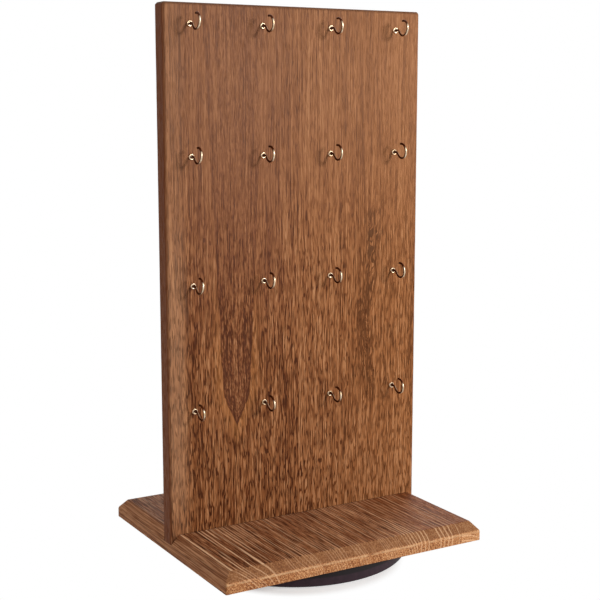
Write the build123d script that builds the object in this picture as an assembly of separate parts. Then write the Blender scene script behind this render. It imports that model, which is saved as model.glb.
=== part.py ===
"""Two-sided jewelry stand on a turntable: a board of cup hooks standing in a dadoed base.

Millimetres. +Z is up, -Y is the front, and X runs along the upright board's width.
The origin is on the surface that the stand rests on, under the turntable's centre.
"""
from build123d import *
from math import cos, pi, radians, sin, sqrt, tan
import os

# Base board
base_width = 241.0
base_depth = 213.0
base_thickness = 16.0
chamfer_run = 6.5
chamfer_rise = 7.7
base_easing = 0.8
dado_depth = 8.0

# Upright board
panel_thickness = 16.0
panel_length = 434.6
panel_easing = 2.5
dado_clearance = 0.1

# Hooks: a grid on each face, with the rows level on both
hook_rows = 4
hook_columns = 4
side_margin = 24.05
grid_shift = -1.4
row_spacing = 102.8
top_row_drop = 16.4
hook_reach = 19.3
wire_diameter = 1.8
bowl_radius = 6.2
bowl_lift = 1.3
tip_angle = 102.0
slope_angle = 50.0
neck_radius = 2.5
collar_diameter = 5.0
collar_thickness = 1.4
collar_edge = 0.6
collar_crown_diameter = 3.0
shank_diameter = 1.7
shank_end_gap = 1.2
pilot_clearance = 0.05
wire_sides = 6
shank_sides = 6
head_sides = 10
collar_sides = 10
bowl_steps = 8
neck_steps = 1

# Turntable: a lower dish, a glide ring in a groove of its floor, and an upper plate turning on it
turntable_height = 17.2
dish_radius = 96.4
dish_wall = 2.4
dish_floor = 3.4
dish_easing = 0.8
upper_setback = 1.0
upper_thickness = 2.8
rim_gap = 0.8
ring_inner_radius = 59.0
ring_width = 6.0
ring_thickness = 3.0
ring_side_gap = 0.2
groove_depth = 1.0
glide_gap = 0.2
rib_inset = 0.8

# Pivot: a hexagon bolt held in the upper plate, with a washer and a lock nut under the dish's boss
bolt_diameter = 6.0
bolt_flats = 10.0
bolt_head_height = 4.0
bolt_cover_gap = 0.4
hub_radius = 11.0
running_clearance = 0.05
hex_clearance = 0.15
nut_flats = 10.0
nut_height = 4.0
nut_recess = 0.6
washer_radius = 6.0
washer_thickness = 1.2
washer_gap = 0.1
pocket_clearance = 1.5
boss_wall = 3.0
boss_land = 2.6

# Feet: rubber pads stuck under the dish
foot_count = 4
foot_radius = 6.5
foot_thickness = 0.6
foot_inset = 7.9

# Screws: from the upper plate into the base, and from the base up into the panel
plate_screw_count = 4
plate_screw_circle = 78.0
plate_screw_diameter = 3.5
plate_screw_head = 6.6
plate_screw_head_height = 1.6
plate_screw_length = 11.0
panel_screw_count = 3
panel_screw_spacing = 80.0
panel_screw_diameter = 4.0
panel_screw_head = 8.0
panel_screw_head_height = 2.4
panel_screw_length = 32.0
screw_clearance = 0.05
head_edge = 0.4

# Heights that follow from the sizes above
dish_bottom = foot_thickness
dish_floor_top = dish_bottom + dish_floor
ring_bottom = dish_floor_top - groove_depth
ring_top = ring_bottom + ring_thickness
base_bottom = turntable_height
base_top = base_bottom + base_thickness
lip_top = base_top - chamfer_rise
dado_floor = base_top - dado_depth
panel_bottom = dado_floor
panel_top = panel_bottom + panel_length
upper_bottom = base_bottom - upper_thickness
dish_rim = upper_bottom - rim_gap
nut_bottom = dish_bottom + nut_recess
nut_top = nut_bottom + nut_height
washer_top = nut_top + washer_thickness
boss_seat = washer_top + washer_gap
boss_top = boss_seat + boss_land
hub_bottom = boss_top + glide_gap
bolt_head_top = base_bottom - bolt_cover_gap
bolt_head_bottom = bolt_head_top - bolt_head_height

# Radii and widths that follow
upper_radius = dish_radius - upper_setback
foot_circle_radius = dish_radius - foot_inset - foot_radius
column_spacing = (base_width - 2 * side_margin) / (hook_columns - 1)
bolt_radius = bolt_diameter / 2
ring_outer_radius = ring_inner_radius + ring_width
groove_inner_radius = ring_inner_radius - ring_side_gap
groove_outer_radius = ring_outer_radius + ring_side_gap
pocket_radius = washer_radius + pocket_clearance
boss_radius = pocket_radius + boss_wall
bolt_hole_radius = bolt_radius + screw_clearance
dado_width = panel_thickness + 2 * dado_clearance
shank_length = (panel_thickness - shank_end_gap) / 2
shank_radius = shank_diameter / 2
pilot_radius = shank_radius + pilot_clearance
top_row_z = panel_top - top_row_drop


def turned(*corners):
    """A solid of revolution about Z from (radius, height) corners."""
    return revolve(Plane.XZ * make_face(Polyline(*corners, close=True)), Axis.Z)


def cylinder(radius, low, high, x=0.0, y=0.0):
    """An upright cylinder between two heights."""
    return Pos(x, y, low) * extrude(Circle(radius), high - low)


def hexagon(flats, low, high):
    """An upright hexagonal prism across the given flats."""
    return Pos(0, 0, low) * extrude(RegularPolygon(flats / 2, 6, major_radius=False), high - low)


def around(count, radius, first=0.0):
    """Centres of equally spaced pieces on a circle."""
    angles = [radians(first + 360 * i / count) for i in range(count)]
    return [(radius * cos(a), radius * sin(a)) for a in angles]


def level_with_round(radius, sides):
    """Corner radius of the regular polygon that has the area of a circle."""
    return radius * sqrt(2 * pi / (sides * sin(2 * pi / sides)))


def shank(radius, length):
    """Flat-sided stand-in for a threaded shank, and for its pilot hole, which repeat many times."""
    return extrude(RegularPolygon(radius, shank_sides), length)


def screw(x, y, head_bottom, head_diameter, head_height, stem_diameter, length, clearance=0.0):
    """A countersunk screw pointing up, or the hole for one when a clearance is given."""
    head_radius = head_diameter / 2 + clearance
    stem_radius = stem_diameter / 2 + clearance
    head = extrude(RegularPolygon(head_radius, head_sides), head_height)
    seat = head.faces().sort_by(Axis.Z)[-1]
    head = chamfer(seat.edges(), head_radius - stem_radius, head_height - head_edge, reference=seat)
    return Pos(x, y, head_bottom) * (head + shank(stem_radius, length + clearance))


# Places of the repeated pieces
foot_places = around(foot_count, foot_circle_radius)
plate_screw_places = around(plate_screw_count, plate_screw_circle, first=180 / plate_screw_count)
panel_screw_places = [((i - (panel_screw_count - 1) / 2) * panel_screw_spacing, 0.0)
                      for i in range(panel_screw_count)]
column_places = [grid_shift + (i - (hook_columns - 1) / 2) * column_spacing for i in range(hook_columns)]
row_places = [top_row_z - i * row_spacing for i in range(hook_rows)]


def plate_screw(x, y, clearance=0.0):
    return screw(x, y, upper_bottom, plate_screw_head, plate_screw_head_height,
                 plate_screw_diameter, plate_screw_length, clearance)


def panel_screw(x, y, clearance=0.0):
    return screw(x, y, base_bottom, panel_screw_head, panel_screw_head_height,
                 panel_screw_diameter, panel_screw_length, clearance)


def make_base_board():
    """Board with a vertical lip, a chamfer all round its top and a dado across its width."""
    board = Pos(0, 0, base_bottom) * extrude(Rectangle(base_width, base_depth), base_thickness)
    top = board.faces().sort_by(Axis.Z)[-1]
    board = chamfer(top.edges(), chamfer_run, chamfer_rise, reference=top)
    board = fillet(board.edges().filter_by(lambda e: e.center().Z > base_bottom), base_easing)
    board -= Pos(0, 0, dado_floor) * extrude(Rectangle(2 * base_width, dado_width), 2 * dado_depth)
    for x, y in plate_screw_places:
        board -= plate_screw(x, y, screw_clearance)
    for x, y in panel_screw_places:
        board -= panel_screw(x, y, screw_clearance)
    return board


def make_panel():
    """Upright board with eased edges, hook pilots drilled through and screw pilots in its foot."""
    blank = Pos(0, 0, panel_bottom) * extrude(Rectangle(base_width, panel_thickness), panel_length)
    eased = blank.edges().filter_by(lambda e: e.center().Z > panel_bottom)
    panel = fillet(eased, panel_easing)
    for x in column_places:
        for z in row_places:
            panel -= Pos(x, -panel_thickness, z) * Rot(-90, 0, 0) * shank(pilot_radius, 2 * panel_thickness)
    for x, y in panel_screw_places:
        panel -= panel_screw(x, y, screw_clearance)
    return panel


def wire_route():
    """Centre line of a hook's wire as (out, up) points, from the collar's face to the tip."""
    centre_out = hook_reach - wire_diameter / 2 - bowl_radius
    slope = radians(slope_angle)
    join_out = centre_out - bowl_radius * sin(slope)
    join_up = bowl_lift - bowl_radius * cos(slope)
    corner_out = join_out + join_up / tan(slope)
    tangent = neck_radius * tan(slope / 2)
    route = [(0.0, 0.0)]
    for i in range(neck_steps + 1):
        turn = slope * i / neck_steps
        route.append((corner_out - tangent + neck_radius * sin(turn), neck_radius * (cos(turn) - 1)))
    first = -pi / 2 - slope
    last = radians(tip_angle)
    for i in range(bowl_steps + 1):
        turn = first + (last - first) * i / bowl_steps
        route.append((centre_out + bowl_radius * cos(turn), bowl_lift + bowl_radius * sin(turn)))
    return route


def make_hook():
    """Screw-in cup hook with its board face at Y = 0, pointing along +Y.

    The stand carries many of them, so the wire and collar have flat sides.
    """
    route = [Vector(0, out, up) for out, up in wire_route()]
    face = Plane(origin=route[0], x_dir=(1, 0, 0), z_dir=(0, 1, 0))
    section = RegularPolygon(level_with_round(wire_diameter / 2, wire_sides), wire_sides)
    wire = sweep(face * section, path=Polyline(*route), transition=Transition.RIGHT)
    disc = RegularPolygon(level_with_round(collar_diameter / 2, collar_sides), collar_sides)
    collar = extrude(face * disc, collar_thickness)
    front = collar.faces().sort_by(Axis.Y)[-1]
    crown_run = (collar_diameter - collar_crown_diameter) / 2
    collar = chamfer(front.edges(), crown_run, collar_thickness - collar_edge, reference=front)
    return wire + collar + Rot(90, 0, 0) * shank(shank_radius, shank_length)


def make_lower_dish():
    """Moulded dish with a groove for the glide ring and a boss that runs on the pivot bolt."""
    rim_inner = dish_radius - dish_wall
    bore = bolt_radius + running_clearance
    return turned((pocket_radius, dish_bottom), (dish_radius - dish_easing, dish_bottom),
                  (dish_radius, dish_bottom + dish_easing), (dish_radius, dish_rim - dish_easing),
                  (dish_radius - dish_easing, dish_rim), (rim_inner, dish_rim), (rim_inner, dish_floor_top),
                  (groove_outer_radius, dish_floor_top), (groove_outer_radius, ring_bottom),
                  (groove_inner_radius, ring_bottom), (groove_inner_radius, dish_floor_top),
                  (boss_radius, dish_floor_top), (boss_radius, boss_top), (bore, boss_top),
                  (bore, boss_seat), (pocket_radius, boss_seat))


def make_upper_plate():
    """Plate under the base, with a rib on the glide ring and a hub that holds the pivot bolt's head."""
    rib_inner = ring_inner_radius + rib_inset
    rib_outer = ring_outer_radius - rib_inset
    plate = turned((bolt_hole_radius, hub_bottom), (hub_radius, hub_bottom), (hub_radius, upper_bottom),
                   (rib_inner, upper_bottom), (rib_inner, ring_top + glide_gap),
                   (rib_outer, ring_top + glide_gap), (rib_outer, upper_bottom),
                   (upper_radius, upper_bottom), (upper_radius, base_bottom),
                   (bolt_hole_radius, base_bottom))
    plate -= hexagon(bolt_flats + 2 * hex_clearance, bolt_head_bottom, base_bottom)
    for x, y in plate_screw_places:
        plate -= plate_screw(x, y, screw_clearance)
    return plate


def make_glide_ring():
    return turned((ring_inner_radius, ring_bottom), (ring_outer_radius, ring_bottom),
                  (ring_outer_radius, ring_top), (ring_inner_radius, ring_top))


def make_pivot_bolt():
    head = hexagon(bolt_flats, bolt_head_bottom, bolt_head_top)
    return head + cylinder(bolt_radius, nut_bottom, bolt_head_bottom)


def make_pivot_washer():
    return cylinder(washer_radius, nut_top, washer_top) - cylinder(bolt_hole_radius, nut_top, washer_top)


def make_pivot_nut():
    return hexagon(nut_flats, nut_bottom, nut_top) - cylinder(bolt_hole_radius, nut_bottom, nut_top)


def make_foot(x, y):
    return cylinder(foot_radius, 0.0, foot_thickness, x, y)


parts = {
    "lower_dish": make_lower_dish(),
    "glide_ring": make_glide_ring(),
    "pivot_bolt": make_pivot_bolt(),
    "pivot_washer": make_pivot_washer(),
    "pivot_nut": make_pivot_nut(),
    "upper_plate": make_upper_plate(),
    "base_board": make_base_board(),
    "panel": make_panel(),
    "plate_screws": Compound(children=[plate_screw(x, y) for x, y in plate_screw_places]),
    "panel_screws": Compound(children=[panel_screw(x, y) for x, y in panel_screw_places]),
}
for number, (x, y) in enumerate(foot_places, start=1):
    parts[f"foot_{number}"] = make_foot(x, y)

hook = make_hook()
for side, face, facing, columns in (("front", -panel_thickness / 2, 180, column_places),
                                    ("back", panel_thickness / 2, 0, column_places[::-1])):
    for row, z in enumerate(row_places, start=1):
        for column, x in enumerate(columns, start=1):
            parts[f"{side}_hook_r{row}_c{column}"] = Pos(x, face, z) * Rot(0, 0, facing) * hook

os.makedirs("parts", exist_ok=True)
for name, solid in parts.items():
    export_step(solid, f"parts/{name}.step")
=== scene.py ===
"""A two-sided jewelry stand on a turntable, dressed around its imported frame.

Metres, +Z up, -Y the front. Sizes that are easier to read in millimetres carry the factor MM.
Shader patterns and the turntable's outlines are in millimetres.
"""
import bmesh
import bpy
import math
import random
from mathutils import Matrix, Vector, noise


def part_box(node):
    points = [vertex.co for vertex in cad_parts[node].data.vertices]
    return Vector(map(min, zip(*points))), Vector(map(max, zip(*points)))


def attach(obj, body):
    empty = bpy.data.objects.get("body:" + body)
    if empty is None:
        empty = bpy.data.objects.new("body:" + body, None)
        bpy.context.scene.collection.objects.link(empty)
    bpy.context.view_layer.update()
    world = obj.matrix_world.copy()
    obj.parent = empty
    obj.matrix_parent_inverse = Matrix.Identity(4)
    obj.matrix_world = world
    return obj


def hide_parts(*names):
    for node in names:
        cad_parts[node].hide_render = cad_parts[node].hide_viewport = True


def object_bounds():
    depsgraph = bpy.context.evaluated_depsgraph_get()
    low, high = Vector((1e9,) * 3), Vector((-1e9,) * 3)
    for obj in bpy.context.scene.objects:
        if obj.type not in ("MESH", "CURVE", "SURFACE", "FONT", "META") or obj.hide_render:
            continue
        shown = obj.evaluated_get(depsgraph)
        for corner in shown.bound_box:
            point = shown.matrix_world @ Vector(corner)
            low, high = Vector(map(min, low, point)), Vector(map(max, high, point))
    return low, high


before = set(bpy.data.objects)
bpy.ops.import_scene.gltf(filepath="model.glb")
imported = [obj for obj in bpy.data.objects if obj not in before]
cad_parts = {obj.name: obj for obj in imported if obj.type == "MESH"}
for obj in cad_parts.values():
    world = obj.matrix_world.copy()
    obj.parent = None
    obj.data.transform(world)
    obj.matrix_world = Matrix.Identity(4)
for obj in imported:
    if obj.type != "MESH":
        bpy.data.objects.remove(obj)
cad_low, cad_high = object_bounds()

MM = 0.001
ROWS = 4
COLUMNS = 4
SIDES = ("front", "back")
LIP_TOP = 25.5 * MM
WHITE = (1.0, 1.0, 1.0, 1.0)
random.seed(11)


# Shader building

def tone(red, green, blue):
    """A linear colour from screen values of 0 to 255."""
    levels = (v / 255 for v in (red, green, blue))
    return (*(v / 12.92 if v <= 0.04045 else ((v + 0.055) / 1.055) ** 2.4 for v in levels), 1.0)


class Nodes:
    """A tree of shader nodes; most calls add a node and return its output."""

    def __init__(self, tree):
        self.tree = tree

    def feed(self, socket, value):
        if isinstance(value, bpy.types.NodeSocket):
            self.tree.links.new(value, socket)
        else:
            socket.default_value = value

    def node(self, kind, *values, **settings):
        made = self.tree.nodes.new(kind)
        for key, value in settings.items():
            setattr(made, key, value)
        for socket, value in zip(made.inputs, values):
            self.feed(socket, value)
        return made

    def math(self, operation, *values):
        return self.node("ShaderNodeMath", *values, operation=operation).outputs[0]

    def chain(self, operation, first, *others):
        """Works the operation along the values, one node for each step."""
        for other in others:
            first = self.math(operation, first, other)
        return first

    def add(self, *values):
        return self.chain("ADD", *values)

    def times(self, *values):
        return self.chain("MULTIPLY", *values)

    def largest(self, *values):
        return self.chain("MAXIMUM", *values)

    def less(self, first, second):
        return self.math("SUBTRACT", first, second)

    def linear(self, value, slope, start):
        """The slope times the value, plus the start."""
        return self.math("MULTIPLY_ADD", value, slope, start)

    def sway(self, value, amount):
        """A noise value turned into a swing of plus or minus half the amount."""
        return self.linear(value, amount, -amount / 2)

    def distance(self, aside, ahead):
        """The length of the way that goes aside and ahead by these amounts."""
        return self.math("SQRT", self.add(self.times(aside, aside), self.times(ahead, ahead)))

    def vector(self, x, y, z):
        return self.node("ShaderNodeCombineXYZ", x, y, z).outputs[0]

    def seen(self):
        """One for what the camera or a reflection sees, nothing for light that falls on things."""
        ray = self.node("ShaderNodeLightPath")
        return self.largest(ray.outputs["Is Camera Ray"], ray.outputs["Is Glossy Ray"])


class Shader(Nodes):
    """A node material with patterns fixed to the object."""

    def __init__(self, name):
        self.material = bpy.data.materials.new(name)
        self.material.use_nodes = True
        super().__init__(self.material.node_tree)
        self.surface = self.tree.nodes["Principled BSDF"]

    def places(self):
        """The point on the object in millimetres, as three numbers."""
        where = self.node("ShaderNodeTexCoord").outputs["Object"]
        scaled = self.node("ShaderNodeVectorMath", where, operation="SCALE")
        scaled.inputs["Scale"].default_value = 1 / MM
        return self.node("ShaderNodeSeparateXYZ", scaled.outputs[0]).outputs

    def facing(self):
        """The size of the surface normal along each of the object's axes."""
        normal = self.node("ShaderNodeTexCoord").outputs["Normal"]
        size = self.node("ShaderNodeVectorMath", normal, operation="ABSOLUTE")
        return self.node("ShaderNodeSeparateXYZ", size.outputs[0]).outputs

    def noise(self, vector, detail=2.0, roughness=0.5):
        made = self.node("ShaderNodeTexNoise")
        self.feed(made.inputs["Vector"], vector)
        self.feed(made.inputs["Scale"], 1.0)
        self.feed(made.inputs["Detail"], detail)
        self.feed(made.inputs["Roughness"], roughness)
        return made.outputs[0]

    def speckle(self, size, detail=2.0):
        """Noise that is alike in every direction, with features of about this size."""
        return self.noise(self.vector(*(self.times(v, 1 / size) for v in self.places())), detail)

    def smooth(self, value, low, high, start=0.0, end=1.0):
        """Goes from start to end as the value goes from low to high."""
        made = self.node("ShaderNodeMapRange", value, low, high, start, end,
                         interpolation_type="SMOOTHSTEP")
        return made.outputs[0]

    def band(self, value, middle, half, soft):
        """One within half of the middle, falling to nothing over the soft width."""
        off = self.math("ABSOLUTE", self.less(value, middle))
        return self.smooth(off, half, half + soft, 1.0, 0.0)

    def stripes(self, value, spacing, half, soft):
        """One on thin stripes that repeat with this spacing of the value."""
        place = self.math("FRACT", self.times(value, 1 / spacing))
        return self.band(self.times(place, spacing), spacing / 2, half, soft)

    def mix(self, factor, first, second):
        made = self.node("ShaderNodeMix", data_type="RGBA")
        self.feed(made.inputs[0], factor)
        self.feed(made.inputs[6], first)
        self.feed(made.inputs[7], second)
        return made.outputs[2]

    def stained(self, colour, *stains):
        """The colour with each stain, a (factor, colour) pair, mixed over it in turn."""
        for factor, stain in stains:
            colour = self.mix(factor, colour, stain)
        return colour

    def ramp(self, value, stops):
        made = self.node("ShaderNodeValToRGB", value)
        points = made.color_ramp.elements
        while len(points) < len(stops):
            points.new(1.0)
        for point, (place, colour) in zip(points, stops):
            point.position = place
            point.color = colour
        return made.outputs[0]

    def bump(self, height, distance):
        made = self.node("ShaderNodeBump")
        self.feed(made.inputs["Height"], height)
        self.feed(made.inputs["Distance"], distance)
        self.feed(self.surface.inputs["Normal"], made.outputs[0])

    def finish(self, **values):
        for name, value in values.items():
            self.feed(self.surface.inputs[name.replace("_", " ")], value)
        return self.material


# Wood

WOOD_GLOSS = 0.1
PORE_RELIEF = 0.12 * MM
PORE_DULLING = 0.2


class Grain:
    """A board's own directions in millimetres: across, deep and along.

    Waver, ripple and curl are how far long, middling and short waves carry the grain aside.
    """

    def __init__(self, shader, across, deep, along, waver, ripple, curl):
        self.shader = shader
        self.deep = deep
        self.along = along
        self.across = across
        for width, length, amount in ((60, 150, waver), (8, 50, ripple), (3, 16, curl)):
            moved = shader.noise(self.drawn_out(across, width, length), detail=1)
            self.across = shader.add(self.across, shader.sway(moved, amount))

    def drawn_out(self, across, width, length):
        """A point scaled to units of this width across the grain and this length along it."""
        shader = self.shader
        return shader.vector(shader.times(across, 1 / width), shader.times(self.deep, 1 / width),
                             shader.times(self.along, 1 / length))

    def noise(self, width, length, detail=2.0, roughness=0.5):
        """Noise drawn out along the grain, with features of about this width and length."""
        return self.shader.noise(self.drawn_out(self.across, width, length), detail, roughness)

    def ring(self, across, deep):
        """Distance from the tree's heart, which runs along the board at this place."""
        return self.shader.distance(self.shader.less(self.across, across),
                                    self.shader.less(self.deep, deep))

    def finish(self, colour, dash, pores, hollows, roughness):
        """The board's material: fine relief with hollows, and pores that are duller."""
        shader = self.shader
        shader.bump(shader.less(shader.times(dash, 0.6), hollows), PORE_RELIEF)
        dulled = shader.add(roughness, shader.times(pores, PORE_DULLING))
        return shader.finish(Base_Color=colour, Roughness=dulled, Specular_IOR_Level=WOOD_GLOSS)


PANEL_STAIN = ((0.0, tone(48, 18, 4)), (0.25, tone(85, 41, 17)), (0.5, tone(131, 80, 45)),
               (0.75, tone(158, 105, 66)), (1.0, tone(180, 128, 88)))
FLAME_TIP = 118.0
FLAME_SIDE = -59.0
FLAME_SLOPE = 2.1
FLAME_HALF = 11.0
FLAME_SPREAD = 0.05
FLAME_SHOULDER = 3.0
HEART_SIDE = 64.5
HEART_LEVEL = 188.0
HEART_BOW = 0.13


def flame_depth(shader, grain, x, z):
    """How far inside the flame a place is: a figure with its point down that soon stops widening."""
    above = shader.less(z, FLAME_TIP)
    ragged = shader.sway(grain.noise(4, 14), 3.0)
    aside = shader.add(shader.less(x, FLAME_SIDE), ragged)
    reach = shader.math("SMOOTH_MIN", shader.times(above, 1 / FLAME_SLOPE),
                        shader.linear(above, FLAME_SPREAD, FLAME_HALF), FLAME_SHOULDER)
    return shader.less(reach, shader.math("ABSOLUTE", aside))


def heart_streaks(shader, grain, x, z):
    """Dark curling streaks along a line that bends away to the right, above and below one level."""
    bow = shader.math("ABSOLUTE", shader.less(z, HEART_LEVEL))
    swing = shader.sway(grain.noise(6, 20, detail=1), 11.0)
    off = shader.add(shader.less(x, shader.linear(bow, HEART_BOW, HEART_SIDE)), swing)
    turns = shader.vector(shader.times(off, 0.62), shader.times(z, 1 / 17), 0.0)
    squiggle = shader.noise(turns, detail=1)
    curls = shader.largest(shader.smooth(squiggle, 0.46, 0.6, 0.0, 0.25),
                           shader.band(squiggle, 0.5, 0.03, 0.05))
    near = shader.band(off, 0.0, 3.5, 6.0)
    level = shader.band(z, 210.0, 62.0, 42.0)
    return shader.times(near, level, curls)


def panel_wood():
    """Stained board, grain upright: dark pores, a flame at lower left, dark streaks at right."""
    shader = Shader("panel_wood")
    x, y, z = shader.places()
    grain = Grain(shader, x, y, z, waver=5.0, ripple=2.0, curl=0.7)
    broad = grain.noise(12, 500)
    streak = grain.noise(2.8, 150, roughness=0.6)
    hair = grain.noise(0.85, 50, detail=0)
    dash = grain.noise(0.85, 11, detail=0)
    pores = shader.smooth(grain.noise(0.9, 8, detail=0), 0.56, 0.66)
    vein = shader.times(shader.band(grain.noise(1.3, 13, detail=0), 0.5, 0.04, 0.07),
                        shader.smooth(grain.noise(1.7, 12, detail=0), 0.38, 0.56))

    inside = flame_depth(shader, grain, x, z)
    fade = shader.smooth(z, 140, 270, 1.0, 0.25)
    flame = shader.times(shader.smooth(inside, -0.3, 0.9), fade)
    brink = shader.times(shader.band(inside, 1.0, 0.4, 1.4), fade)
    glow = shader.times(shader.smooth(inside, -12.0, -2.0), shader.smooth(inside, -0.5, 0.7, 1.0, 0.0),
                        shader.smooth(z, 84, 110), fade)
    chevron = shader.noise(shader.vector(shader.times(inside, 0.9), shader.times(z, 1 / 4),
                                         shader.times(x, 1 / 4)))
    heart = heart_streaks(shader, grain, x, z)

    contrast = shader.smooth(z, 180, 340, 1.0, 0.35)
    foot = shader.smooth(z, 40, 150, 1.0, 0.0)
    lower_right = shader.times(shader.smooth(x, 20, 75), shader.smooth(z, 60, 150, 1.0, 0.0))
    upper_left = shader.times(shader.smooth(x, -110, 20, 1.0, 0.0), shader.smooth(z, 160, 320))
    value = shader.add(
        0.55,
        shader.sway(broad, 0.4),
        shader.times(contrast, 0.06),
        shader.times(foot, 0.04),
        shader.sway(streak, 0.45),
        shader.times(shader.sway(hair, 1.0), shader.linear(contrast, 0.4, 0.6)),
        shader.times(shader.sway(dash, 1.0), contrast),
        shader.times(vein, contrast, -0.5),
        shader.times(vein, foot, -0.2),
        shader.times(shader.sway(chevron, 2.2), flame),
        shader.times(brink, -0.34),
        shader.times(flame, -0.21),
        shader.times(heart, -0.78),
        shader.times(lower_right, 0.2),
        shader.smooth(z, 170, 280, -0.03, 0.0),
        shader.times(upper_left, -0.07),
        shader.times(glow, 0.08))

    golden = shader.largest(shader.smooth(grain.across, -10, 110, 0.0, 0.26), shader.times(glow, 0.4))
    purple = shader.times(shader.band(grain.across, -60.0, 26.0, 40.0),
                          shader.smooth(z, 150, 260, 0.0, 0.3))
    sapwood = shader.times(shader.smooth(grain.across, -112, -99, 1.0, 0.0),
                           shader.smooth(z, 10, 80, 0.1, 0.46), shader.smooth(z, 210, 330, 1.0, 0.3))
    lower_stain = shader.smooth(z, 180, 320, 0.14, 0.0)
    upper_haze = shader.smooth(z, 200, 420, 0.0, 0.26)
    # Painted shade: the board's narrow sides are mixed to a darker, redder brown.
    narrow_side_shade = shader.smooth(shader.facing()[0], 0.5, 0.9, 0.0, 0.7)
    top = cad_high[2] / MM
    top_edge = shader.smooth(z, top - 3.3, top - 0.2, 0.0, 0.6)
    colour = shader.stained(
        shader.ramp(value, PANEL_STAIN),
        (golden, tone(170, 110, 60)),
        (shader.largest(purple, shader.times(flame, 0.3)), tone(110, 66, 48)),
        (sapwood, tone(184, 138, 104)),
        (lower_stain, tone(122, 66, 22)),
        (upper_haze, tone(156, 116, 90)),
        (shader.times(pores, contrast, 0.5), tone(52, 22, 7)),
        (narrow_side_shade, tone(114, 52, 16)),
        (top_edge, tone(70, 38, 22)))
    return grain.finish(colour, dash, pores, shader.largest(pores, vein), roughness=0.58)


BASE_STAIN = ((0.0, tone(54, 25, 11)), (0.3, tone(98, 53, 29)), (0.5, tone(129, 77, 47)),
              (0.72, tone(157, 101, 66)), (1.0, tone(190, 136, 94)))
FLANK_STAIN = ((0.0, tone(98, 54, 32)), (0.5, tone(166, 105, 66)), (1.0, tone(222, 160, 114)))
CUT_STAIN = ((0.0, tone(100, 54, 28)), (0.4, tone(152, 95, 57)), (0.75, tone(186, 130, 84)),
             (1.0, tone(210, 156, 110)))
# Where the second and third staves begin, and the place of each stave's heart
GLUE_LINES = (58.0, 101.0)
HEARTS_ACROSS = (-150.0, 30.0, 104.0)
HEARTS_UP = (-34.0, 22.0, -14.0)
RING_SPACING = 2.3


def stave_rings(shader, grain, second, third):
    """Distance from the heart of the stave that a place is on, with uneven steps.

    Second and third are one from the second and from the third stave on.
    """
    hearts = []
    for left, middle, right in (HEARTS_ACROSS, HEARTS_UP):
        heart = shader.linear(second, middle - left, left)
        hearts.append(shader.linear(third, right - middle, heart))
    ring = shader.add(grain.ring(*hearts), shader.sway(grain.noise(20, 400, detail=1), 5.0))
    ring = shader.times(ring, shader.linear(second, -0.42, 1.0))
    uneven = shader.noise(shader.vector(shader.times(ring, 0.16), 9.0, 0.0), detail=1)
    return shader.add(ring, shader.sway(uneven, 4.0))


def pale_rings(shader, ring, x, y, second, end, side):
    """Thin pale rings, crowded near both sides of the board and fainter on its cut faces."""
    patches = shader.vector(shader.times(ring, 1 / 3), 3.0, shader.times(y, 1 / 70))
    strength = shader.add(shader.noise(patches, detail=1), shader.times(second, 0.07))
    crowd = shader.largest(shader.band(x, -97.0, 13.0, 14.0), shader.band(x, 88.0, 32.0, 12.0))
    top_right = shader.times(second, shader.smooth(end, 0.0, 1.0, 0.65, 0.0))
    left_corner = shader.times(end, shader.smooth(x, -112, -104, 0.8, 0.0))
    behind_panel = shader.times(shader.smooth(y, 4, 20, 0.0, 0.7), shader.smooth(x, -90, -70, 1.0, 0.0))
    return shader.times(
        shader.stripes(ring, RING_SPACING, 0.2, 0.3),
        shader.smooth(strength, 0.42, 0.58),
        shader.linear(crowd, 0.35, 0.47),
        shader.linear(side, -0.75, 1.0),
        shader.linear(end, -0.55, 1.0),
        *(shader.less(1.0, hidden) for hidden in (top_right, left_corner, behind_panel)))


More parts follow.
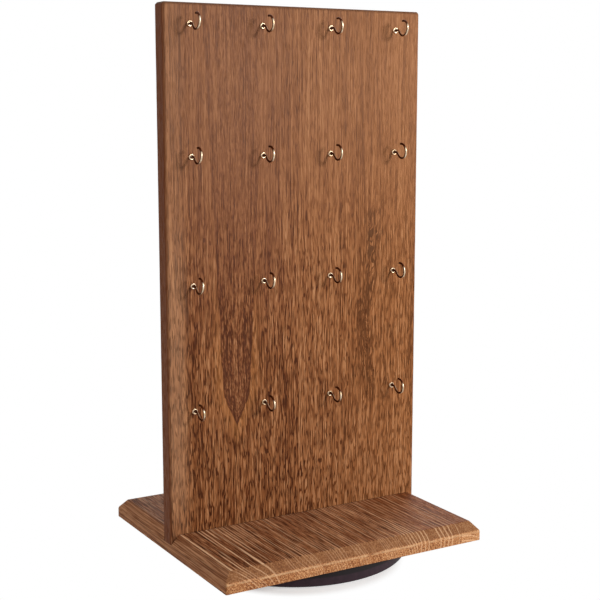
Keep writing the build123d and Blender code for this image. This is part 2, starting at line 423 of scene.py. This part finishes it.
def base_wood():
    """Three staves, grain front to back: pale rings run along the top and arch at the ends."""
    shader = Shader("base_wood")
    x, y, z = shader.places()
    grain = Grain(shader, x, z, y, waver=2.0, ripple=0.8, curl=0.5)
    broad = grain.noise(16, 300, detail=1)
    streak = grain.noise(2.2, 120, roughness=0.6)
    hair = grain.noise(0.9, 40, detail=0)
    dash = grain.noise(0.9, 12, detail=0)
    pores = shader.smooth(grain.noise(0.8, 6, detail=1), 0.56, 0.66)
    facing = shader.facing()
    side, end = (shader.smooth(facing[k], 0.3, 0.6) for k in range(2))
    top = shader.smooth(facing[2], 0.8, 0.95)
    second, third = (shader.math("GREATER_THAN", x, glued) for glued in GLUE_LINES)
    ring = stave_rings(shader, grain, second, third)
    pale = pale_rings(shader, ring, x, y, second, end, side)

    smudge = shader.times(shader.band(x, -88.0, 12.0, 12.0), shader.band(y, -86.0, 14.0, 20.0))
    value = shader.add(
        0.57,
        shader.sway(broad, 0.35),
        shader.times(second, shader.smooth(end, 0.0, 1.0, -0.1, 0.0)),
        shader.times(third, end, 0.18),
        shader.sway(streak, 0.9),
        shader.sway(hair, 1.2),
        shader.times(shader.sway(dash, 1.1), shader.linear(side, -0.6, 1.0)),
        shader.times(smudge, -0.18))

    lip = LIP_TOP / MM
    chamfer = shader.smooth(z, lip + 0.1, lip + 0.9, 0.0, 0.65)
    cut = shader.stained(
        shader.ramp(value, CUT_STAIN),
        (shader.times(pores, 0.3), tone(110, 66, 38)),
        (chamfer, tone(120, 78, 49)))
    patchy = shader.noise(shader.vector(shader.times(x, 0.09), shader.times(y, 0.09), 7.0))
    # A pale line just under the lip's top edge: partly rubbed wear, partly a painted highlight.
    rubbed_arris_and_highlight = shader.times(shader.band(z, lip - 0.9, 0.5, 0.6),
                                shader.linear(end, 0.45, 0.12), shader.smooth(patchy, 0.3, 0.6))
    panel_shade = shader.times(shader.band(y, 0.0, 8.4, 1.6), top, 0.6)
    colour = shader.stained(
        shader.ramp(value, BASE_STAIN),
        (shader.times(pores, 0.4), tone(54, 28, 17)),
        (shader.times(second, 0.25), tone(146, 80, 34)),
        (shader.times(side, 0.85), shader.ramp(value, FLANK_STAIN)),
        (end, cut),
        (rubbed_arris_and_highlight, tone(212, 170, 128)),
        (pale, tone(250, 204, 160)),
        (panel_shade, tone(50, 27, 16)))
    return grain.finish(colour, dash, pores, pores, roughness=0.6)


# Metal, plastic and rubber

# Each hook vertex's darkness for the brass: patina all over and at the wire's root, and painted shade
# on the root, the tip, one flank and one side of the collar.
TARNISH_AND_SHADE = "tarnish_and_shade"
PATCH_SIZE = 2.0
MARK_SIZE = 1 / 6
MOTTLE_SIZE = 1.25
CLOUD_SCALE = 0.06
BRIM_SHADOW_FADE = 1.6


def brass(name, clean, dull, tarnish_and_shade):
    """Aged brass plate: duller patches, fine marks, and patina and painted shade where a hook's mesh
    says.
    """
    shader = Shader(name)
    patch = shader.speckle(PATCH_SIZE, detail=3)
    dark = shader.node("ShaderNodeAttribute", attribute_name=TARNISH_AND_SHADE).outputs["Fac"]
    colour = shader.stained(clean, (shader.smooth(patch, 0.4, 0.66), dull), (dark, tarnish_and_shade))
    roughness = shader.linear(shader.add(patch, dark), 0.24, 0.2)
    shader.bump(shader.speckle(MARK_SIZE), 0.04 * MM)
    return shader.finish(Base_Color=colour, Roughness=roughness, Metallic=1.0)


def moulded(name, colour, other, roughness, grain_size, relief, gloss=0.5, brim=None):
    """Moulded plastic or rubber, finely pebbled, with a painted shadow darkening it up to the brim if
    it has one.
    """
    shader = Shader(name)
    cloud = shader.speckle(grain_size / CLOUD_SCALE)
    colour = shader.mix(shader.smooth(cloud, 0.35, 0.65), colour, other)
    if brim:
        height = shader.places()[2]
        # Painted shadow: the colour darkens towards the brim.
        dark = shader.smooth(height, brim - BRIM_SHADOW_FADE, brim, 0.0, 0.85)
        colour = shader.mix(dark, colour, tone(10, 5, 5))
    shader.bump(shader.speckle(grain_size), relief)
    uneven = shader.add(roughness, shader.sway(cloud, 0.12))
    return shader.finish(Base_Color=colour, Roughness=uneven, Specular_IOR_Level=gloss)


def steel(name, colour, dull):
    """Zinc-plated steel with a faint mottle."""
    shader = Shader(name)
    mottle = shader.speckle(MOTTLE_SIZE, detail=3)
    shader.bump(mottle, 0.02 * MM)
    return shader.finish(Base_Color=shader.mix(shader.smooth(mottle, 0.4, 0.6), colour, dull),
                         Roughness=shader.linear(mottle, 0.2, 0.26), Metallic=1.0)


PANEL_WOOD = panel_wood()
BASE_WOOD = base_wood()
BRASS = brass("hook_brass", tone(242, 220, 190), tone(206, 180, 142), tone(80, 38, 16))
# The dish's brim carries a painted shadow under the board's overhang.
DISH_PLASTIC = moulded("dish_plastic", tone(40, 25, 33), tone(48, 32, 40), roughness=0.6,
                       grain_size=0.35, relief=0.02 * MM, gloss=0.2, brim=8.6)
# The plate's black plastic is darkened further as painted shade under the board.
PLATE_PLASTIC_SHADED = moulded("plate_plastic", tone(14, 10, 11), tone(19, 14, 16), roughness=0.6,
                        grain_size=0.35, relief=0.02 * MM, gloss=0.2)
RING_PLASTIC = moulded("ring_plastic", tone(226, 222, 208), tone(218, 213, 196), roughness=0.35,
                       grain_size=0.6, relief=0.01 * MM)
RUBBER = moulded("foot_rubber", tone(34, 33, 33), tone(42, 41, 40), roughness=0.7,
                 grain_size=0.5, relief=0.04 * MM)
STEEL = steel("steel", tone(196, 198, 200), tone(164, 167, 170))
SCREW_STEEL = steel("screw_steel", tone(196, 186, 150), tone(160, 150, 118))


# Mesh building

def new_object(name, bm):
    """Turns a bmesh into an object in the scene."""
    mesh = bpy.data.meshes.new(name)
    bm.to_mesh(mesh)
    bm.free()
    made = bpy.data.objects.new(name, mesh)
    bpy.context.scene.collection.objects.link(made)
    return made


def add_piece(name, bm, body, slot, material, *nodes, smooth_angle=32):
    """Makes a closed piece from a bmesh, smooth up to the given angle, and puts it on its body."""
    bmesh.ops.recalc_face_normals(bm, faces=bm.faces)
    piece = new_object(name, bm)
    mesh = piece.data
    mesh.polygons.foreach_set("use_smooth", [True] * len(mesh.polygons))
    mesh.set_sharp_from_angle(angle=math.radians(smooth_angle))
    mesh.materials.append(material)
    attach(piece, body)
    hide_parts(*nodes)


def close_rings(bm, rings, wrap=False):
    """Joins rings of vertices with quads; wrap joins the last to the first, else both are capped."""
    pairs = list(zip(rings, rings[1:]))
    if wrap:
        pairs.append((rings[-1], rings[0]))
    for lower, upper in pairs:
        for i in range(len(lower)):
            j = (i + 1) % len(lower)
            bm.faces.new((lower[i], lower[j], upper[j], upper[i]))
    if not wrap:
        bm.faces.new(rings[0])
        bm.faces.new(rings[-1])


def level_ring(bm, radius, z, sides, x=0.0, y=0.0):
    """A round ring of vertices at height z about the place (x, y)."""
    angles = (2 * math.pi * n / sides for n in range(sides))
    return [bm.verts.new((x + radius * math.cos(a), y + radius * math.sin(a), z)) for a in angles]


def eased(corners, cut, steps=4):
    """The route through the corners with each inner corner rounded over the cut length."""
    route = [Vector(corners[0])]
    for before, corner, after in zip(corners, corners[1:], corners[2:]):
        before, corner, after = Vector(before), Vector(corner), Vector(after)
        start = corner + (before - corner).normalized() * cut
        end = corner + (after - corner).normalized() * cut
        for i in range(steps + 1):
            t = i / steps
            route.append(start.lerp(corner, t).lerp(corner.lerp(end, t), t))
    route.append(Vector(corners[-1]))
    return route


FINE_WEAR_SIZE = 3 * MM


def worn(point, size):
    """A fixed uneven amount from 0 to 1 for a place: dents of about this size, and finer ones."""
    coarse, fine = (0.5 + 0.5 * noise.noise(point / s) for s in (size, FINE_WEAR_SIZE))
    return 0.6 * coarse + 0.4 * fine


# Upright panel

EASING = 2.5 * MM
EASING_STEPS = 5
SUPPORT = 0.3 * MM
BOARD_STEP = 5.0 * MM
EDGE_WEAR = 0.45 * MM
FACE_WEAR = 0.05 * MM
PANEL_WEAR_SIZE = 14 * MM
EDGE_WEAR_ONSET = 4


def board_stops(low, high):
    """Grid places along one side of the board: close over the eased edges, then even."""
    angles = (math.radians(45 * (1 - i / EASING_STEPS)) for i in range(EASING_STEPS + 1))
    turn = [EASING * (1 - math.tan(a)) for a in angles]
    start, end = low + EASING + SUPPORT, high - EASING - SUPPORT
    count = max(1, round((end - start) / BOARD_STEP))
    middle = [start + (end - start) * i / count for i in range(count + 1)]
    return [low + t for t in turn] + middle + [high - t for t in reversed(turn)]


def make_panel():
    """The upright board, its edges rounded over and slightly uneven, its foot cut square."""
    low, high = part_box("panel")
    stops = [board_stops(low[k], high[k]) for k in range(3)]
    stops[2] = [low.z] + [z for z in stops[2] if z > low.z + EASING]
    inner_low = Vector((low.x + EASING, low.y + EASING, low.z))
    inner_high = high - Vector((EASING, EASING, EASING))
    last = [len(s) - 1 for s in stops]
    bm = bmesh.new()
    made = {}

    def vertex(i, j, k):
        if (i, j, k) not in made:
            point = Vector((stops[0][i], stops[1][j], stops[2][k]))
            inner = Vector(min(max(point[n], inner_low[n]), inner_high[n]) for n in range(3))
            out = point - inner
            turned = 1 - max(abs(c) for c in out.normalized())
            dent = FACE_WEAR + EDGE_WEAR * min(1.0, turned * EDGE_WEAR_ONSET)
            dent *= worn(point, PANEL_WEAR_SIZE)
            made[i, j, k] = bm.verts.new(inner + out.normalized() * (EASING - dent))
        return made[i, j, k]

    def sheet(rows, columns, place):
        for p in range(rows):
            for q in range(columns):
                corners = (place(p, q), place(p + 1, q), place(p + 1, q + 1), place(p, q + 1))
                bm.faces.new([vertex(*c) for c in corners])

    for side in (0, last[1]):
        sheet(last[0], last[2], lambda p, q: (p, side, q))
    for side in (0, last[0]):
        sheet(last[1], last[2], lambda p, q: (side, p, q))
    sheet(last[0], last[1], lambda p, q: (p, q, last[2]))
    rim = [e for e in bm.edges if len(e.link_faces) == 1]
    bmesh.ops.contextual_create(bm, geom=rim)
    add_piece("upright_board", bm, "display", "panel_wood", PANEL_WOOD, "panel")


# Base board

CHAMFER_RUN = 6.5 * MM
BASE_CUT = 0.9 * MM
CORNER_RADIUS = 1.2 * MM
SIDE_POINTS = 56
CORNER_POINTS = 5
BASE_WEAR = 0.35 * MM
BASE_WEAR_SIZE = 13 * MM
FACE_SHARE = 0.3
DADO_GAP = 0.1 * MM


def rounded_ring(half_x, half_y, z):
    """Points round a rectangle with small round corners, the same number at every size."""
    points = []
    inner = ((1, 1), (-1, 1), (-1, -1), (1, -1))
    for index, (sx, sy) in enumerate(inner):
        centre = Vector((sx * (half_x - CORNER_RADIUS), sy * (half_y - CORNER_RADIUS), z))
        for i in range(CORNER_POINTS):
            turn = math.pi / 2 * (index + i / (CORNER_POINTS - 1))
            points.append(centre + CORNER_RADIUS * Vector((math.cos(turn), math.sin(turn), 0)))
        nx, ny = inner[(index + 1) % 4]
        far = Vector((nx * (half_x - CORNER_RADIUS), ny * (half_y - CORNER_RADIUS), z))
        turn = math.pi / 2 * (index + 1)
        aside = CORNER_RADIUS * Vector((math.cos(turn), math.sin(turn), 0))
        points += [centre.lerp(far, i / SIDE_POINTS) + aside for i in range(1, SIDE_POINTS)]
    return points


def base_blank(low, high):
    """The base board before its groove is cut: lip, chamfer all round, slightly uneven edges."""
    profile = eased(((0, low.z), (0, LIP_TOP), (CHAMFER_RUN, high.z), (3 * CHAMFER_RUN, high.z)),
                    BASE_CUT)
    profile.insert(1, Vector((0, low.z + SUPPORT)))
    bm = bmesh.new()
    rings = []
    for inset, z in profile:
        level = rounded_ring(high.x - inset, high.y - inset, z)
        for point in level:
            if SUPPORT < z - low.z and inset < 2 * CHAMFER_RUN:
                near = min(abs(z - LIP_TOP), abs(z - high.z)) < BASE_CUT
                dent = BASE_WEAR * worn(point, BASE_WEAR_SIZE) * (1.0 if near else FACE_SHARE)
                point -= Vector((point.x, point.y, 0)).normalized() * dent
        rings.append([bm.verts.new(p) for p in level])
    close_rings(bm, rings)
    bmesh.ops.recalc_face_normals(bm, faces=bm.faces)
    return new_object("base_blank", bm)


def make_base():
    """The base board, with a groove through it for the panel's foot."""
    low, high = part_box("base_board")
    panel_low, panel_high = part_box("panel")
    blank = base_blank(low, high)
    cut_low = Vector((2 * low.x, panel_low.y - DADO_GAP, panel_low.z))
    cut_high = Vector((2 * high.x, panel_high.y + DADO_GAP, 2 * high.z))
    cutter = bmesh.new()
    bmesh.ops.create_cube(cutter, size=1.0)
    for v in cutter.verts:
        v.co = Vector(cut_high[k] if v.co[k] > 0 else cut_low[k] for k in range(3))
    tool = new_object("groove_tool", cutter)
    cut = blank.modifiers.new("groove", "BOOLEAN")
    cut.operation = "DIFFERENCE"
    cut.object = tool
    cut.solver = "EXACT"
    bpy.context.view_layer.update()
    bm = bmesh.new()
    bm.from_mesh(blank.evaluated_get(bpy.context.evaluated_depsgraph_get()).data)
    for thing in (blank, tool):
        bpy.data.objects.remove(thing)
    add_piece("base_plinth", bm, "display", "base_wood", BASE_WOOD, "base_board")


# Cup hooks

HOOK_REACH = 19.3 * MM
WIRE = 1.8 * MM
WIRE_SIDES = 16
WIRE_START = 0.2 * MM
WIRE_TIP = ((0.22, 0.92), (0.38, 0.7), (0.46, 0.4))
BOWL_RADIUS = 6.2 * MM
BOWL_LIFT = 1.3 * MM
BOWL_STEPS = 30
TIP_ANGLE = 102
SLOPE_ANGLE = 50
NECK_RADIUS = 2.5 * MM
NECK_STEPS = 4
COLLAR = 5.0 * MM
COLLAR_THICKNESS = 1.4 * MM
COLLAR_EASE = 0.25 * MM
COLLAR_SIDE = 0.6 * MM
COLLAR_HOLLOW = 0.7 * MM
COLLAR_ROUNDING = 0.14 * MM
COLLAR_SIDES = 36
HOLLOW_RADIUS = 0.31 * COLLAR
SHANK = 7.4 * MM
SHANK_RADIUS = 0.84 * MM
SHANK_SIDES = 12
SHANK_POINT = 0.25
SHANK_TAPER = 1.2
THREAD_PITCH = 0.9 * MM
THREAD_DEPTH = 0.28 * MM
RINGS_PER_TURN = 4
# How far the root's patina and painted shade reach, and where the painted shade on the tip and flank
# begins.
ROOT_TARNISH_AND_SHADE = 6.2 * MM
ROOT_FADE = 2.0 * MM
TIP_SHADE = 0.3 * BOWL_RADIUS
TIP_FADE = 0.25 * BOWL_RADIUS
FLANK_TOWARDS = (0.86, 0.5)
FLANK_SHADE = 0.12
FLANK_FADE = 0.7
LEAST_TARNISH = 0.12
ROLL_SPREAD = 3.0


def hook_route():
    """The wire's centre line as (out, up): through the collar, down a short neck, round the bowl."""
    centre = HOOK_REACH - WIRE / 2 - BOWL_RADIUS
    slope = math.radians(SLOPE_ANGLE)
    join_out = centre - BOWL_RADIUS * math.sin(slope)
    join_up = BOWL_LIFT - BOWL_RADIUS * math.cos(slope)
    corner = join_out + join_up / math.tan(slope)
    neck = corner - NECK_RADIUS * math.tan(slope / 2)
    route = [Vector((WIRE_START, 0))]
    for i in range(NECK_STEPS + 1):
        turn = slope * i / NECK_STEPS
        route.append(Vector((neck + NECK_RADIUS * math.sin(turn),
                             NECK_RADIUS * (math.cos(turn) - 1))))
    first, last = -math.pi / 2 - slope, math.radians(TIP_ANGLE)
    for i in range(BOWL_STEPS + 1):
        turn = first + (last - first) * i / BOWL_STEPS
        route.append(Vector((centre + BOWL_RADIUS * math.cos(turn),
                             BOWL_LIFT + BOWL_RADIUS * math.sin(turn))))
    return route


def wire_ring(bm, layer, point, ahead, radius):
    """A ring of vertices round an (out, up) point, with patina and painted shade at the root, painted
    shade at the tip and on one flank.
    """
    side = Vector((0, -ahead.y, ahead.x))
    right, up = FLANK_TOWARDS
    # Patina and painted shade darken the wire near the collar, fading out along the neck.
    root = (ROOT_TARNISH_AND_SHADE - point.x) / ROOT_FADE
    # Painted shade darkens the bowl's upper arc towards the tip.
    tip = (point.y - BOWL_LIFT - TIP_SHADE) / TIP_FADE
    ring = []
    for n in range(WIRE_SIDES):
        a = 2 * math.pi * n / WIRE_SIDES
        around = math.cos(a) * Vector((1, 0, 0)) + math.sin(a) * side
        vertex = bm.verts.new(Vector((0, point.x, point.y)) + radius * around)
        # Painted shade: the wire's one flank is darker than the other.
        flank = (right * math.cos(a) + up * math.sin(a) + FLANK_SHADE) / FLANK_FADE
        vertex[layer] = min(1.0, max(LEAST_TARNISH, root, tip, flank))
        ring.append(vertex)
    return ring


def add_tube(bm, layer, route):
    """A round wire along a route in the YZ plane, its tip slightly domed."""
    rings = []
    for i, point in enumerate(route):
        ahead = (route[min(i + 1, len(route) - 1)] - route[max(i - 1, 0)]).normalized()
        rings.append(wire_ring(bm, layer, point, ahead, WIRE / 2))
    ahead = (route[-1] - route[-2]).normalized()
    for out, shrink in WIRE_TIP:
        end = route[-1] + ahead * out * WIRE / 2
        rings.append(wire_ring(bm, layer, end, ahead, WIRE / 2 * shrink))
    close_rings(bm, rings)


def add_turned(bm, layer, profile, sides, thread=0.0, pitch=1.0):
    """A solid turned about Y from (radius, y) points; thread adds a helix of that depth."""
    rings = []
    for radius, y in profile:
        ring = []
        in_hollow = radius < HOLLOW_RADIUS
        for n in range(sides):
            a = 2 * math.pi * n / sides
            wave = abs(2 * ((y / pitch + n / sides) % 1.0) - 1)
            r = radius - thread * wave if y < 0 else radius
            vertex = bm.verts.new((r * math.cos(a), y, r * math.sin(a)))
            # Painted shade: one side of the collar's hollow and rim is darker.
            shade = 0.75 - 0.9 * math.cos(a) if in_hollow else -0.7 * math.cos(a) - 0.15
            vertex[layer] = min(1.0, max(0.0, shade))
            ring.append(vertex)
        rings.append(ring)
    close_rings(bm, rings)


def hook_mesh():
    """One cup hook with its collar's back at Y = 0, pointing along +Y."""
    bm = bmesh.new()
    layer = bm.verts.layers.float.new(TARNISH_AND_SHADE)
    add_tube(bm, layer, hook_route())
    half = COLLAR / 2
    dome = eased(((half - COLLAR_EASE, 0.0), (half, COLLAR_EASE), (half, COLLAR_SIDE),
                  (0.86 * half, COLLAR_THICKNESS), (0.66 * half, COLLAR_THICKNESS),
                  (0.6 * half, COLLAR_HOLLOW), (0.3 * half, COLLAR_HOLLOW)),
                 COLLAR_ROUNDING, steps=2)
    add_turned(bm, layer, dome, COLLAR_SIDES)
    steps = int(SHANK / THREAD_PITCH * RINGS_PER_TURN)
    shank = []
    for i in range(steps + 1):
        taper = min(1.0, SHANK_POINT + SHANK_TAPER * i / steps)
        shank.append((SHANK_RADIUS * taper, -SHANK + SHANK * i / steps))
    add_turned(bm, layer, shank, SHANK_SIDES, THREAD_DEPTH, THREAD_PITCH)
    bmesh.ops.recalc_face_normals(bm, faces=bm.faces)
    return bm


def make_hooks():
    """Screwed-in hooks, each turned a little differently, as hand-driven ones are."""
    panel_low, panel_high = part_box("panel")
    master = hook_mesh()
    for side in SIDES:
        facing = Matrix.Rotation(math.pi if side == "front" else 0.0, 4, "Z")
        y = panel_low.y if side == "front" else panel_high.y
        for row in range(1, ROWS + 1):
            for column in range(1, COLUMNS + 1):
                node = f"{side}_hook_r{row}_c{column}"
                low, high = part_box(node)
                root = Vector(((low.x + high.x) / 2, y, low.z + BOWL_RADIUS + WIRE / 2 - BOWL_LIFT))
                roll = Matrix.Rotation(math.radians(random.gauss(0, ROLL_SPREAD)), 4, "Y")
                bm = master.copy()
                place = Matrix.Translation(root) @ facing @ roll
                bmesh.ops.transform(bm, matrix=place, verts=bm.verts)
                add_piece(f"cup_hook_{side}_{row}{column}", bm, "display", "hook_brass", BRASS, node,
                          smooth_angle=40)
    master.free()


# Turntable, its outlines in millimetres

TURNED_SIDES = 160
RUNNING_GAP = 0.2
BORE = 3.05
DISH_WALL = 2.4
GROOVE_DEPTH = 1.0
DISH_CHAMFER = 1.0
RING_GROOVE = (58.8, 65.2)
RING = (59.0, 65.0)
DISH_BOSS = 10.5
BOSS_TOP = 2.6
NUT_POCKET = 7.5
PLATE_THICKNESS = 2.8
PLATE_HUB = 11.0
PLATE_RIB = (59.8, 64.2)
HEAD_POCKET = 6.0
HEAD_DEPTH = 4.4
DISH_ROUNDING = 0.35
PLATE_ROUNDING = 0.3
RING_ROUNDING = 0.4


def lathe(profile):
    """A closed solid turned about Z from a closed (radius, height) outline."""
    bm = bmesh.new()
    rings = [level_ring(bm, radius, z, TURNED_SIDES) for radius, z in profile]
    close_rings(bm, rings, wrap=True)
    return bm


def softened(corners, cut):
    """A closed outline in metres from one in millimetres, every corner rounded over the cut."""
    loop = [corners[-1], *corners, corners[0]]
    return [(p.x * MM, p.y * MM) for p in eased(loop, cut, steps=3)[1:-1]]


def make_turntable():
    """Dish, glide ring and turning plate, smooth round versions of the frame's faceted solids."""
    dish_low, dish_high = (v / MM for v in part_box("lower_dish"))
    plate_low, plate_high = (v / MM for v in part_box("upper_plate"))
    ring_low, ring_high = (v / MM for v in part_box("glide_ring"))
    rim, wall, base = dish_high.x, dish_high.x - DISH_WALL, dish_low.z
    floor, seat = ring_low.z + GROOVE_DEPTH, plate_low.z - RUNNING_GAP
    pocket = seat - BOSS_TOP
    inner, outer = RING_GROOVE
    dish = softened(((NUT_POCKET, base), (rim - DISH_CHAMFER, base), (rim, base + DISH_CHAMFER),
                     (rim, dish_high.z), (wall, dish_high.z), (wall, floor), (outer, floor),
                     (outer, ring_low.z), (inner, ring_low.z), (inner, floor), (DISH_BOSS, floor),
                     (DISH_BOSS, seat), (BORE, seat), (BORE, pocket), (NUT_POCKET, pocket)),
                    DISH_ROUNDING)
    add_piece("turntable_dish", lathe(dish), "turntable_base", "dish_plastic", DISH_PLASTIC,
              "lower_dish")
    rim, hub, top = plate_high.x, plate_low.z, plate_high.z
    under, track, socket = top - PLATE_THICKNESS, ring_high.z + RUNNING_GAP, top - HEAD_DEPTH
    inner, outer = PLATE_RIB
    plate = softened(((BORE, hub), (PLATE_HUB, hub), (PLATE_HUB, under), (inner, under),
                      (inner, track), (outer, track), (outer, under), (rim, under), (rim, top),
                      (HEAD_POCKET, top), (HEAD_POCKET, socket), (BORE, socket)),
                     PLATE_ROUNDING)
    add_piece("turning_plate", lathe(plate), "display", "plate_plastic", PLATE_PLASTIC_SHADED,
              "upper_plate")
    inner, outer = RING
    ring = softened(((inner, ring_low.z), (outer, ring_low.z), (outer, ring_high.z),
                     (inner, ring_high.z)), RING_ROUNDING)
    add_piece("glide_band", lathe(ring), "turntable_base", "ring_plastic", RING_PLASTIC,
              "glide_ring")


FOOT_COUNT = 4
FOOT_SIDES = 48
FOOT_HOLLOW = 0.12 * MM
FOOT_EDGE_IN = 0.2 * MM
FOOT_EDGE_UP = 0.3 * MM
FOOT_ROUNDING = 0.18 * MM


def make_feet():
    """Stick-on rubber pads with a rounded edge and a shallow dish."""
    for number in range(1, FOOT_COUNT + 1):
        low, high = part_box(f"foot_{number}")
        middle = (low + high) / 2
        radius = (high.x - low.x) / 2
        profile = eased(((0.7 * radius, FOOT_HOLLOW), (0.8 * radius, 0.0),
                         (radius - FOOT_EDGE_IN, 0.0), (radius, FOOT_EDGE_UP), (radius, high.z)),
                        FOOT_ROUNDING, steps=3)
        bm = bmesh.new()
        close_rings(bm, [level_ring(bm, r, z, FOOT_SIDES, middle.x, middle.y) for r, z in profile])
        add_piece(f"rubber_pad_{number}", bm, "turntable_base", "foot_rubber", RUBBER,
                  f"foot_{number}")


EDGE_BREAK = 0.15 * MM


def dress_hardware():
    """Gives the bolt, nut, washer and screws their metal and a slight break on each edge."""
    for name, material in (("pivot_bolt", STEEL), ("pivot_nut", STEEL), ("pivot_washer", STEEL),
                           ("plate_screws", SCREW_STEEL), ("panel_screws", SCREW_STEEL)):
        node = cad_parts[name]
        node.data.materials.clear()
        node.data.materials.append(material)
        edge = node.modifiers.new("edge", "BEVEL")
        edge.width = EDGE_BREAK
        edge.segments = 2
        edge.limit_method = "ANGLE"


# Surroundings

FLOOR_SIZE = 6.0
FLOOR_ALBEDO = 0.86
FLOOR_ROUGHNESS = 0.9
FLOOR_GLOW = 0.4
SHADOW_MIDDLE = (-10.0 * MM, -22.0 * MM)
SHADOW_KEPT = 79 * MM
SHADOW_GONE = 92 * MM
SKY_LIGHT = 0.38
LAMP_TARGET = Vector((0, 0, 0.2))
KEY_PLACE = (1.25, -2.1, 1.0)
KEY_SIZE = 0.6
KEY_POWER = 50.0
KEY_COLOUR = (1.0, 0.985, 0.96)
BACK_PLACE = (1.4, 1.6, 1.5)
BACK_SIZE = 1.4
BACK_POWER = 16.0
BACK_COLOUR = (1.0, 1.0, 1.0)
CAMERA_PLACE = (-0.5246, -0.9077, 0.3838)
CAMERA_YAW = 0.529
CAMERA_PITCH = -0.157
FOCAL_PIXELS = 1253.7
PICTURE_PIXELS = 600
SENSOR_WIDTH = 36.0
CLIP_START = 0.02
CLIP_END = 50.0


def make_floor():
    """A wide pale floor that shows the stand's shadow near it and is plain white beyond."""
    bm = bmesh.new()
    bmesh.ops.create_grid(bm, x_segments=1, y_segments=1, size=FLOOR_SIZE)
    floor = new_object("floor", bm)
    shader = Shader("floor_white")
    shader.finish(Base_Color=(FLOOR_ALBEDO, FLOOR_ALBEDO, FLOOR_ALBEDO, 1.0),
                  Roughness=FLOOR_ROUGHNESS, Specular_IOR_Level=0.0)
    x, y = (shader.less(v, m / MM) for v, m in zip(shader.places(), SHADOW_MIDDLE))
    blank = shader.smooth(shader.distance(x, y), SHADOW_KEPT / MM, SHADOW_GONE / MM)
    seen = shader.seen()
    white = shader.node("ShaderNodeEmission", WHITE, 1.0).outputs[0]
    lift = shader.node("ShaderNodeEmission", WHITE, shader.times(seen, FLOOR_GLOW)).outputs[0]
    near = shader.node("ShaderNodeAddShader", shader.surface.outputs[0], lift).outputs[0]
    mixed = shader.node("ShaderNodeMixShader", shader.times(seen, blank), near, white).outputs[0]
    shader.feed(shader.tree.nodes["Material Output"].inputs["Surface"], mixed)
    floor.data.materials.append(shader.material)


def make_world():
    """Even soft light from all round; the camera and reflections see plain white."""
    world = bpy.data.worlds.new("studio")
    world.use_nodes = True
    bpy.context.scene.world = world
    nodes = Nodes(world.node_tree)
    background = nodes.tree.nodes["Background"]
    nodes.feed(background.inputs["Color"], WHITE)
    nodes.feed(background.inputs["Strength"], nodes.linear(nodes.seen(), 1.0 - SKY_LIGHT, SKY_LIGHT))


def aimed(name, data, place, ahead):
    """Puts a lamp or camera at a place, looking along the direction ahead."""
    made = bpy.data.objects.new(name, data)
    made.location = place
    made.rotation_mode = "QUATERNION"
    made.rotation_quaternion = ahead.to_track_quat("-Z", "Y")
    bpy.context.scene.collection.objects.link(made)
    return made


def make_lamps():
    """A warm key light from the right front and a wide fill from the right back."""
    for name, place, size, power, colour in (
            ("key", KEY_PLACE, KEY_SIZE, KEY_POWER, KEY_COLOUR),
            ("back_right", BACK_PLACE, BACK_SIZE, BACK_POWER, BACK_COLOUR)):
        light = bpy.data.lights.new(name, "AREA")
        light.shape = "DISK"
        light.size = size
        light.energy = power
        light.color = colour
        aimed(name, light, place, LAMP_TARGET - Vector(place))


def make_camera():
    """The photograph's view: from the left front, slightly above, looking a little down."""
    camera = bpy.data.cameras.new("camera")
    camera.sensor_width = SENSOR_WIDTH
    camera.lens = SENSOR_WIDTH * FOCAL_PIXELS / PICTURE_PIXELS
    camera.clip_start = CLIP_START
    camera.clip_end = CLIP_END
    level = math.cos(CAMERA_PITCH)
    ahead = Vector((math.sin(CAMERA_YAW) * level, math.cos(CAMERA_YAW) * level,
                    math.sin(CAMERA_PITCH)))
    bpy.context.scene.camera = aimed("camera", camera, CAMERA_PLACE, ahead)


make_panel()
make_base()
make_hooks()
make_turntable()
make_feet()
dress_hardware()
make_floor()
make_world()
make_lamps()
make_camera()
bpy.context.scene.view_settings.view_transform = "Standard"
